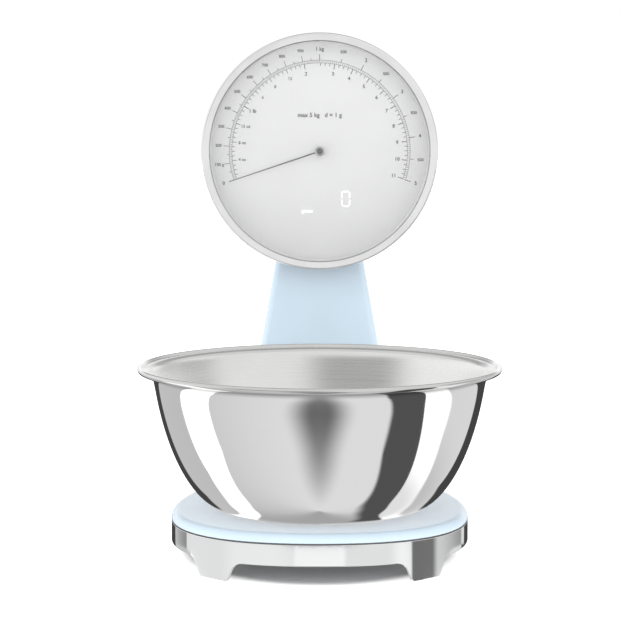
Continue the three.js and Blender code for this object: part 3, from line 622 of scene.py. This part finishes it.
def leg_profile(run, low, high):
    """Height of the skirt's lower edge at a distance into an arch from a foot."""
    slope = math.radians(68)
    toe, fillet = 2.5 * MM, 7.6 * MM
    toe_run, toe_rise = toe * math.sin(slope), toe * (1 - math.cos(slope))
    fillet_run, fillet_rise = fillet * math.sin(slope), fillet * (1 - math.cos(slope))
    straight = (high - low - toe_rise - fillet_rise) / math.tan(slope)
    if run <= 0:
        return low
    if run < toe_run:
        return low + toe - math.sqrt(toe**2 - run**2)
    if run < toe_run + straight:
        return low + toe_rise + (run - toe_run) * math.tan(slope)
    left = toe_run + straight + fillet_run - run
    if left > 0:
        return high - fillet + math.sqrt(max(0, fillet**2 - left**2))
    return high


# The half widths of the front and rear arches, and the y of both ends of the side ones.
FRONT_ARCH, REAR_ARCH = 60.3 * MM, 42 * MM
SIDE_ARCH = (-95.4 * MM, 94.4 * MM)
BAND_BOTTOM = 12.6 * MM
# A point of the outline belongs to the front or the rear if it is this far out and this near the middle.
FRONT_FACE = {"y": -85 * MM, "half": 70 * MM}
REAR_FACE = {"y": 105 * MM, "half": 50 * MM}
SKIRT_WALL = 2.6 * MM
SKIRT_ROUND = 0.5 * MM
GAP_SHADOW_FACES_UP = 0.6


def lower_edge(x, y):
    """Height of the skirt's lower edge at a point of its outline."""
    if y < FRONT_FACE["y"] and abs(x) < FRONT_FACE["half"]:
        run = FRONT_ARCH - abs(x)
    elif y > REAR_FACE["y"] and abs(x) < REAR_FACE["half"]:
        run = REAR_ARCH - abs(x)
    else:
        run = min(y - SIDE_ARCH[0], SIDE_ARCH[1] - y)
    return leg_profile(run, SKIRT_LOW.z, BAND_BOTTOM)


def swept_wall(name, outline, section_at, slot, **ride):
    """A closed section carried round an outline: section_at(x, y) gives its (inset, height) points."""
    normals = inward(outline)
    vertices = []
    faces = []
    total = len(outline)
    for point, normal in zip(outline, normals):
        section = section_at(*point)
        for inset, height in section:
            vertices.append((*(point + normal * inset), height))
    count = len(vertices) // total
    for i in range(total):
        for j in range(count):
            k = (j + 1) % count
            n = (i + 1) % total
            faces.append((i * count + j, i * count + k, n * count + k, n * count + j))
    return piece(name, vertices, faces, slot, **ride)


def skirt():
    """The chromed skirt; its upward faces take dark plastic, as a painted shadow of the gap under the plate.
    """
    half = np.vstack([part if i == 0 else part[1:] for i, part in enumerate(base_halves())])
    outline = evenly(mirrored(half), 0.6 * MM)
    top, top_round = SKIRT_HIGH.z, 0.4 * MM

    def section(x, y):
        low = lower_edge(x, y)
        corners = [(0, low), (0, top, top_round), (SKIRT_WALL, top, top_round), (SKIRT_WALL, low)]
        return rounded(corners, SKIRT_ROUND, 3)

    made = swept_wall("chrome_skirt", outline, section, "chrome", replaces=("base_skirt",), sharp=70)
    # Painted shadow: the upward faces, which the plate's gap shows, are dark plastic.
    made.data.materials.append(LOOKS["dark_plastic"])
    for face in made.data.polygons:
        if face.normal.z > GAP_SHADOW_FACES_UP:
            face.material_index = 1
    even_normals(made)


PLATE_ROUND = 5.6 * MM
PLATE_ROUND_STEPS = 12
PLATE_SKIN = 2 * MM
PLATE_LIP = 2.7 * MM
REAR_STRAIGHT = 52 * MM
REAR_CORNER = 11 * MM
# The flat top's rings, each as a share of the one outside it.
TOP_SHARES = (0.93, 0.7 / 1.3, 0.4 / 1.3, 0.12 / 1.3)


def plate_outline():
    """The base's outline as far as the column, where the plate turns in and ends straight."""
    rear = PLATE_HIGH.y
    front_part, side_part, _ = base_halves()
    kept = side_part[side_part[:, 1] < rear - REAR_CORNER]
    edge = kept[-1]
    corner = [edge, edge + (-3 * MM, 8 * MM), (edge[0] - 8 * MM, rear), (REAR_STRAIGHT, rear)]
    back = np.linspace((REAR_STRAIGHT, rear), (0, rear), 40)
    half = np.vstack([front_part, kept[1:], bezier(corner, 40)[1:], back[1:]])
    return evenly(mirrored(half), 1.5 * MM)


def plate():
    """The weighing plate: a rounded edge round a flat top, open underneath."""
    outline = plate_outline()
    low, top, radius = PLATE_LOW.z, PLATE_HIGH.z, PLATE_ROUND
    break_edge = 0.1 * MM
    section = [(PLATE_LIP, top - PLATE_SKIN), (PLATE_LIP, low), (break_edge, low), (0, low + break_edge)]
    for k in range(1, PLATE_ROUND_STEPS + 1):
        angle = math.radians(90 * k / PLATE_ROUND_STEPS)
        section.append((radius * (1 - math.cos(angle)), top - radius + radius * math.sin(angle)))
    normals = inward(outline)
    rings = [np.column_stack([outline + normals * inset, np.full(len(outline), z)]) for inset, z in section]
    middle = rings[-1].mean(axis=0)
    for share in TOP_SHARES:
        rings.append(middle + (rings[-1] - middle) * share)
    under_middle = np.array([middle[0], middle[1], top - PLATE_SKIN])
    total = len(outline)
    vertices = np.vstack(rings + [[middle], [under_middle]])
    faces = []
    for r in range(len(rings) - 1):
        for i in range(total):
            n = (i + 1) % total
            faces.append((r * total + i, r * total + n, (r + 1) * total + n, (r + 1) * total + i))
    last, top_point, under_point = (len(rings) - 1) * total, len(rings) * total, len(rings) * total + 1
    for i in range(total):
        n = (i + 1) % total
        faces.append((last + i, last + n, top_point))
        faces.append((n, i, under_point))
    made = piece("plate_skin", vertices, faces, "pastel_gloss", "platform", ("weighing_plate",), 60)
    even_normals(made)


# ------------------------------------------------------------------ bowl


BOWL_WALL = 1 * MM
FOOT_RADIUS = 62 * MM
FLAT_RADIUS = 40 * MM
RIM_BEAD = 2 * MM
BEAD_Z = BOWL_HIGH.z - RIM_BEAD
SHOULDER = (109 * MM, BEAD_Z - 8.5 * MM)
BRIM = (116.4 * MM, BEAD_Z - 1.1 * MM)
FLARE_START = SHOULDER[1] - 6 * MM
LIP_Z = BEAD_Z - 2.6 * MM


def bowl():
    """A spun bowl: polished outside, satin inside, with a flared lip rolled into a bead."""
    low = BOWL_LOW.z
    bulge = [(85.5 * MM, low + 1.7 * MM), (103 * MM, low + 42.2 * MM)]
    side = bezier([(FOOT_RADIUS, low), *bulge, SHOULDER], 90)
    side = side[side[:, 1] < FLARE_START]
    upward = (side[-1] - side[-2]) / np.linalg.norm(side[-1] - side[-2])
    turn = (110.8 * MM, BEAD_Z - 1.2 * MM)
    flare = bezier([side[-1], side[-1] + 13.2 * MM * upward, turn, BRIM], 40)
    outside = np.vstack([[(0, low)], [(FLAT_RADIUS, low)], side, flare[1:]])
    angles = np.radians(np.linspace(-100, 130, 20))
    bead_centre = np.array([BOWL_HIGH.x - RIM_BEAD, BEAD_Z])
    rim = bead_centre + RIM_BEAD * np.column_stack([np.cos(angles), np.sin(angles)])
    along = np.gradient(outside[2:], axis=0)
    along /= np.linalg.norm(along, axis=1)[:, None]
    inside = outside[2:] + BOWL_WALL * np.column_stack([-along[:, 1], along[:, 0]])
    floor_top = low + BOWL_WALL
    section = np.vstack([outside, rim, inside[::-1][1:], [(FLAT_RADIUS, floor_top)], [(0, floor_top)]])
    ride = {"body": "bowl", "replaces": ("bowl",), "sharp": 75}
    made = turned("steel_bowl", section, (0, 0, 0), "Z", "bowl_steel", 256, **ride)
    made.location = (0, BOWL_Y, 0)
    made.data.materials.append(SPUN_STEEL)
    made.data.materials.append(SATIN_LIP_PAINTED_SHADE)
    made.data.materials.append(BEAD_PAINTED_SHADE)
    # The lip and the bead take the darker steel, as painted shade on the rim.
    for face in made.data.polygons:
        on_bead = face.center.xy.length > BRIM[0] + 0.4 * MM
        if face.center.z > LIP_Z:
            face.material_index = 3 if on_bead else 2
        elif face.normal.z > 0:
            face.material_index = 1


# ------------------------------------------------------------------ head


NEEDLE_AXIS = (HEAD_X, 0, HEAD_Z)
NOSE_INNER = 78.5 * MM
NOSE_FLAT = 82.6 * MM
GROOVE_RADIUS = 77.8 * MM
BEZEL_BORE = 81 * MM
WINDOW_SEAT = 3.2 * MM
WINDOW_RADIUS = 80.6 * MM
SURROUND_INNER = (78.4 * MM, 77 * MM)
DIAL_RADIUS = 80.4 * MM
DIAL_HOLE = 2 * MM


def bezel():
    """The chromed ring: a groove round the window, a flat nose, and a side that is rounded into it. The side
    and the groove take darker copies of the nose's chrome, as painted shade.
    """
    outer = BEZEL_RADIUS
    depth = BEZEL_HIGH.y - BEZEL_LOW.y
    rounding = bezier([(NOSE_FLAT, 0), (outer - 0.5 * MM, 0), (outer, 1.4 * MM), (outer, 5 * MM)], 30)
    nose = np.vstack([[(NOSE_INNER, 0)], rounding])
    groove_floor = [(78 * MM, 0.8 * MM), (78.3 * MM, 0.8 * MM)]
    groove = [(GROOVE_RADIUS, WINDOW_SEAT), (GROOVE_RADIUS, 1 * MM), *groove_floor]
    bore = [(outer, depth), (BEZEL_BORE, depth), (BEZEL_BORE, WINDOW_SEAT)]
    section = groove + [tuple(p) for p in nose] + bore
    front = (HEAD_X, BEZEL_LOW.y, HEAD_Z)
    made = turned("bezel", section, front, "Y", "chrome", 288, replaces=("bezel_ring",), sharp=50)
    even_normals(made)
    for look in (RING_CHROME, RING_SIDE_PAINTED_SHADE, RING_GROOVE_PAINTED_SHADE):
        made.data.materials.append(look)
    for face in made.data.polygons:
        radius = math.hypot(face.center.x - HEAD_X, face.center.z - HEAD_Z)
        on_side = radius > outer - 0.5 * MM
        in_groove = radius < NOSE_INNER - 0.05 * MM
        face.material_index = 3 if in_groove else 2 if on_side else 1


def window_and_dial():
    """The flat clear window, the ring that slopes down round the dial, and the dial itself."""
    outer = WINDOW_RADIUS
    low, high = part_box("dial_window")
    corners = [(0, low.y, 0), (outer, low.y), (outer, high.y), (0, high.y, 0)]
    shape = rounded(corners, 0.4 * MM)
    window = turned("window", shape, NEEDLE_AXIS, "Y", "clear_window", 192, replaces=("dial_window",))
    window.visible_shadow = False

    low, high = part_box("dial_surround")
    slope = SURROUND_INNER
    shape = rounded([(slope[0], low.y), (outer, low.y), (outer, high.y), (slope[1], high.y)], 0.3 * MM)
    ride = {"replaces": ("dial_surround",), "sharp": 40}
    turned("surround", shape, NEEDLE_AXIS, "Y", "dial_white", 256, **ride)

    low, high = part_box("dial_face")
    hole, outer = DIAL_HOLE, DIAL_RADIUS
    shape = rounded([(hole, low.y), (outer, low.y), (outer, high.y), (hole, high.y)], 0.15 * MM)
    turned("dial", shape, NEEDLE_AXIS, "Y", "dial_white", 256, replaces=("dial_face",))


# ------------------------------------------------------------------ dial print

# Degrees anticlockwise from the right at zero, and the turn for the first kilo and for each later one.
ZERO_ANGLE = 198.5
FIRST_KILO = 108.5
LATER_KILO = 27.125
OUNCE = 28.3495
INK_GAP = 0.005 * MM
PRINT_HEIGHT = 0.06 * MM
BAND_IN, BAND_OUT = 62.6 * MM, 64.6 * MM
HAIRLINE, GRAM_LINE, OUNCE_LINE, KILO_LINE, POUND_LINE = 0.26 * MM, 0.42 * MM, 0.44 * MM, 0.5 * MM, 0.56 * MM
LONG_TICK, HALF_KILO_TICK, SHORT_TICK = 4.1 * MM, 2.6 * MM, 1.7 * MM
POUND_TICK, FOUR_OUNCE_TICK, OUNCE_TICK = 3.8 * MM, 3.0 * MM, 2.0 * MM
OUTER_FIGURES, INNER_FIGURES = 72.3 * MM, 55.6 * MM
SMALL_FIGURE, LARGE_FIGURE, LEGEND = 2.1 * MM, 2.5 * MM, 3 * MM
LEGEND_Z = 25.6 * MM
CAPITAL_SHARE = 0.7
STROKE_SWELL = 0.045


def dial_angle(grams):
    """Where a weight lies on the dial, anticlockwise from the right: the first kilo has half the scale."""
    first = min(grams, 1000) / 1000
    later = max(grams - 1000, 0) / 1000
    return math.radians(ZERO_ANGLE - FIRST_KILO * first - LATER_KILO * later)


class Print:
    """Marks raised by the thickness of the ink from the dial."""

    def __init__(self):
        self.vertices = []
        self.faces = []

    def plate(self, outline):
        """A flat mark with the given [x, z] outline about the needle's axis."""
        start = len(self.vertices)
        count = len(outline)
        for y in (DIAL_FRONT - PRINT_HEIGHT, DIAL_FRONT - INK_GAP):
            self.vertices += [(HEAD_X + x, y, HEAD_Z + z) for x, z in outline]
        self.faces.append(tuple(start + i for i in range(count)))
        self.faces.append(tuple(start + count + i for i in reversed(range(count))))
        for i in range(count):
            n = (i + 1) % count
            self.faces.append((start + i, start + count + i, start + count + n, start + n))

    def tick(self, grams, inner, outer, width):
        angle = dial_angle(grams)
        out = Vector((math.cos(angle), math.sin(angle)))
        side = Vector((-out.y, out.x)) * width / 2
        self.plate([out * inner - side, out * outer - side, out * outer + side, out * inner + side])

    def arc(self, radius, width, start=0, end=5000, steps=110):
        for i in range(steps):
            a, b = (dial_angle(start) + (dial_angle(end) - dial_angle(start)) * k / steps for k in (i, i + 1))
            near, far = radius - width / 2, radius + width / 2
            corners = [(near, a), (far, a), (far, b), (near, b)]
            self.plate([(r * math.cos(t), r * math.sin(t)) for r, t in corners])

    def made(self, name, look):
        out = piece(name, self.vertices, self.faces, "needle_black", sharp=30)
        out.data.materials[0] = look
        return out


def dial_marks():
    """The band of hairlines, with grams and kilos outside it, and ounces and pounds inside it."""
    fine, bold = Print(), Print()
    for radius in (BAND_IN, BAND_OUT):
        fine.arc(radius, HAIRLINE)
    for grams in list(range(0, 1000, 10)) + list(range(1000, 5001, 50)):
        fine.tick(grams, BAND_IN, BAND_OUT, HAIRLINE)
    for grams in range(0, 1001, 50):
        reach = LONG_TICK if grams % 100 == 0 else SHORT_TICK
        fine.tick(grams, BAND_OUT, BAND_OUT + reach, GRAM_LINE)
    for grams in range(1500, 5000, 1000):
        fine.tick(grams, BAND_OUT, BAND_OUT + HALF_KILO_TICK, GRAM_LINE)
    for grams in [500] + list(range(1000, 5001, 1000)):
        bold.tick(grams, BAND_OUT, BAND_OUT + LONG_TICK, KILO_LINE)
    for ounces in list(range(0, 33)) + list(range(36, 177, 4)):
        reach = FOUR_OUNCE_TICK if ounces % 4 == 0 and ounces < 33 else OUNCE_TICK
        fine.tick(ounces * OUNCE, BAND_IN - reach, BAND_IN, OUNCE_LINE)
    for pounds in range(1, 12):
        bold.tick(pounds * 16 * OUNCE, BAND_IN - POUND_TICK, BAND_IN, POUND_LINE)
    fine.made("dial_fine_marks", PRINT_FINE)
    bold.made("dial_bold_marks", PRINT_DARK)


def lettering(name, labels, look):
    """Printed figures: labels are (text, x, z, height), each centred on its place."""
    joined = bmesh.new()
    middle_y = DIAL_FRONT - PRINT_HEIGHT / 2 - INK_GAP
    for text, x, z, height in labels:
        curve = bpy.data.curves.new("figure", "FONT")
        curve.body = text
        curve.size = height / CAPITAL_SHARE
        curve.align_x, curve.align_y = "CENTER", "CENTER"
        curve.resolution_u = 3
        curve.offset = STROKE_SWELL * height
        curve.extrude = PRINT_HEIGHT / 2
        holder = bpy.data.objects.new("figure", curve)
        bpy.context.scene.collection.objects.link(holder)
        bpy.context.view_layer.update()
        mesh = bpy.data.meshes.new_from_object(holder)
        move = Matrix.Translation((HEAD_X + x, middle_y, HEAD_Z + z))
        mesh.transform(move @ Matrix.Rotation(math.pi / 2, 4, "X"))
        joined.from_mesh(mesh)
        bpy.data.meshes.remove(mesh)
        bpy.data.objects.remove(holder)
        bpy.data.curves.remove(curve)
    mesh = bpy.data.meshes.new(name)
    joined.to_mesh(mesh)
    joined.free()
    mesh.materials.append(look)
    made = bpy.data.objects.new(name, mesh)
    bpy.context.scene.collection.objects.link(made)
    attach(made, "root")


def dial_figures():
    """Kilos and grams outside the band, pounds and ounces inside it, and a plain legend above the hub."""

    def placed(text, grams, radius, height):
        angle = dial_angle(grams)
        return text, radius * math.cos(angle), radius * math.sin(angle), height

    outer, inner = OUTER_FIGURES, INNER_FIGURES
    small, large = SMALL_FIGURE, LARGE_FIGURE
    fine = [placed("100 g", 100, outer, small)]
    fine += [placed(str(g), g, outer, small) for g in range(200, 1000, 100)]
    fine += [placed("500", g, outer, small) for g in range(1500, 5000, 1000)]
    fine += [placed(f"{oz} oz", oz * OUNCE, inner, small) for oz in (4, 8, 12)]
    fine += [placed(str(oz - 16), oz * OUNCE, inner, small) for oz in (20, 24, 28)]
    bold = [placed("0", 0, outer, large), placed("1 kg", 1000, outer, large)]
    bold += [placed(str(kilos), 1000 * kilos, outer, large) for kilos in range(2, 6)]
    bold += [placed("1 lb", 16 * OUNCE, inner, large)]
    bold += [placed(str(lb), 16 * lb * OUNCE, inner, large) for lb in range(2, 12)]
    fine.append(("max 5 kg   d = 1 g", 0, LEGEND_Z, LEGEND))
    lettering("dial_small_figures", fine, PRINT_FINE)
    lettering("dial_large_figures", bold, PRINT_DARK)


def lit_digit():
    """A lit seven-segment nought in the dial's lower right, and a lit unit to the left of it."""
    centre = Vector((18.6 * MM, -34.0 * MM))
    width, height, thick = 5.5 * MM, 10.5 * MM, 0.95 * MM
    shine = Print()
    gap = 0.45 * MM

    def segment(start, end):
        along = (end - start).normalized()
        side = Vector((-along.y, along.x)) * thick / 2
        a, b = start + along * gap, end - along * gap
        inset = along * thick / 2
        shine.plate([a, a + inset - side, b - inset - side, b, b - inset + side, a + inset + side])

    places = [(sx, sz) for sx in (-1, 1) for sz in (-1, 0, 1)]
    corners = {(sx, sz): centre + Vector((sx * width / 2, sz * height / 2)) for sx, sz in places}
    for sx in (-1, 1):
        segment(corners[sx, -1], corners[sx, 0])
        segment(corners[sx, 0], corners[sx, 1])
    for sz in (-1, 1):
        segment(corners[-1, sz], corners[1, sz])
    out = shine.made("lit_nought", LIT)
    lettering("lit_unit", [("gram", -9 * MM, -42.6 * MM, 2.7 * MM)], LIT)


# ------------------------------------------------------------------ needle

NEEDLE_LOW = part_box("needle")[0]
CAP_LOW, CAP_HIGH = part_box("needle_cap")
# Distance along the needle and its half width there, in mm.
NEEDLE_STATIONS = [(0, 0.5), (20, 0.45), (45, 0.34), (67.4, 0.25), (68, 0.1)]
RIDGE_HEIGHT = 0.38 * MM
FULL_RIDGE_HALF = 0.6
BLADE_HALF_THICKNESS = 0.1 * MM
RING_SHARE = 0.68


def needle():
    """A thin blade with a ridge along its middle, lying at zero."""
    angle = math.radians(ZERO_ANGLE)
    out = Vector((math.cos(angle), 0, math.sin(angle)))
    side = Vector((-out.z, 0, out.x))
    centre = Vector((HEAD_X, NEEDLE_LOW.y + 0.55 * MM, HEAD_Z))
    vertices = []
    for along, half in NEEDLE_STATIONS:
        at = centre + out * along * MM
        ridge = Vector((0, RIDGE_HEIGHT * min(1, half / FULL_RIDGE_HALF), 0))
        width = side * half * MM
        low = Vector((0, BLADE_HALF_THICKNESS, 0))
        vertices += [at - ridge, at + width - low, at + width + low]
        vertices += [at + ridge, at - width + low, at - width - low]
    faces = [tuple(range(6)), tuple(reversed(range(len(vertices) - 6, len(vertices))))]
    for s in range(len(NEEDLE_STATIONS) - 1):
        for k in range(6):
            a, b = s * 6 + k, s * 6 + (k + 1) % 6
            faces.append((a, b, b + 6, a + 6))
    blade = piece("needle_blade", vertices, faces, "needle_black", "needle", ("needle",), 20)
    blade.modifiers.new("edges", "BEVEL").width = 0.05 * MM


def needle_cap():
    """A dark dome over the hub, in a smoked chrome ring."""
    radius = (CAP_HIGH.x - CAP_LOW.x) / 2
    depth = CAP_HIGH.y - CAP_LOW.y
    size = np.array([radius, depth])
    dome = bezier([(0, 0), (0.4, 0), (0.62, 0.1), (0.66, 0.42)], 16) * size
    ring = bezier([(0.72, 0.5), (0.76, 0.3), (1, 0.3), (1, 0.9)], 16) * size
    section = [tuple(p) for p in np.vstack([dome, ring])] + [(radius, depth), (0, depth)]
    cap = turned(
        "needle_dome", section, (HEAD_X, CAP_LOW.y, HEAD_Z), "Y", "needle_black", 96,
        body="needle", replaces=("needle_cap",), sharp=50,
    )
    cap.data.materials.append(metal("smoked_chrome", (0.42, 0.42, 0.43), 0.1, relief=0.01))
    for face in cap.data.polygons:
        if math.hypot(face.center.x - HEAD_X, face.center.z - HEAD_Z) > RING_SHARE * radius:
            face.material_index = 1


# ------------------------------------------------------------------ carried-over nodes


WELD_DISTANCE = 1e-6
SMOOTH_UP_TO = 30


def smoothing_group():
    """Geometry nodes that join the facets of a curved face and shade them as one, up to an angle."""
    group = bpy.data.node_groups.new("smooth_facets", "GeometryNodeTree")
    group.interface.new_socket("Geometry", in_out="INPUT", socket_type="NodeSocketGeometry")
    group.interface.new_socket("Geometry", in_out="OUTPUT", socket_type="NodeSocketGeometry")
    entry = group.nodes.new("NodeGroupInput")
    leave = group.nodes.new("NodeGroupOutput")
    weld_node = group.nodes.new("GeometryNodeMergeByDistance")
    weld_node.inputs["Distance"].default_value = WELD_DISTANCE
    faces = group.nodes.new("GeometryNodeSetShadeSmooth")
    faces.domain = "FACE"
    angle = group.nodes.new("GeometryNodeInputMeshEdgeAngle")
    compare = group.nodes.new("FunctionNodeCompare")
    compare.operation = "LESS_THAN"
    compare.inputs["B"].default_value = math.radians(SMOOTH_UP_TO)
    edges = group.nodes.new("GeometryNodeSetShadeSmooth")
    edges.domain = "EDGE"
    group.links.new(entry.outputs[0], weld_node.inputs[0])
    group.links.new(weld_node.outputs[0], faces.inputs[0])
    group.links.new(faces.outputs[0], edges.inputs[0])
    group.links.new(angle.outputs["Unsigned Angle"], compare.inputs["A"])
    group.links.new(compare.outputs[0], edges.inputs["Shade Smooth"])
    group.links.new(edges.outputs[0], leave.inputs[0])
    return group


def dress_nodes():
    """Each carried-over CAD node gets its slot's finish, and smooth shading over its facets."""
    smooth = smoothing_group()
    for entry in frame["record"]["subparts"]:
        node = nodes[entry["node"]]
        look = LOOKS[entry["material_slot"]]
        if not node.material_slots:
            node.data.materials.append(look)
        for slot in node.material_slots:
            slot.material = look
        node.modifiers.new("smooth_facets", "NODES").node_group = smooth


# ------------------------------------------------------------------ floor


# The glow starts and is full at these shares of the base's own size.
GLOW_FROM, GLOW_FULL = 0.86, 0.98
GLOW_STRENGTH = 0.62


def floor():
    """A white sweep: it glows round the scale but not under it, so that only the shadow shows."""
    mesh = bpy.data.meshes.new("floor")
    reach = 8
    corners = [(-reach, -reach, 0), (reach, -reach, 0), (reach, reach, 0), (-reach, reach, 0)]
    mesh.from_pydata(corners, [], [(0, 1, 2, 3)])
    made = bpy.data.objects.new("floor", mesh)
    surface = Surface("white_floor", Roughness=0.9, Emission_Color=(1, 1, 1, 1))
    surface.colour(surface.noise(40), (0.93, 0.93, 0.93), (0.94, 0.94, 0.94))
    distance = surface.tree.nodes.new("ShaderNodeVectorMath")
    distance.operation = "LENGTH"
    base_sizes = (1 / SKIRT_HIGH.x, 2 / (SKIRT_HIGH.y - SKIRT_LOW.y), 1)
    surface.tree.links.new(surface.stretched(base_sizes), distance.inputs[0])
    away = step(surface.tree, distance.outputs["Value"], GLOW_FROM, GLOW_FULL)
    glow = math_node(surface.tree, "MULTIPLY", away, GLOW_STRENGTH)
    surface.tree.links.new(glow, surface.shader.inputs["Emission Strength"])
    mesh.materials.append(surface.material)
    bpy.context.scene.collection.objects.link(made)
    made.visible_glossy = False


def clear_reflections():
    """The polished metal shows only the studio, as if every other piece were masked off."""
    for made in bpy.data.objects:
        if made.type == "MESH":
            made.visible_glossy = False


dress_nodes()
skirt()
plate()
bowl()
bezel()
window_and_dial()
dial_marks()
dial_figures()
lit_digit()
needle()
needle_cap()
floor()
clear_reflections()
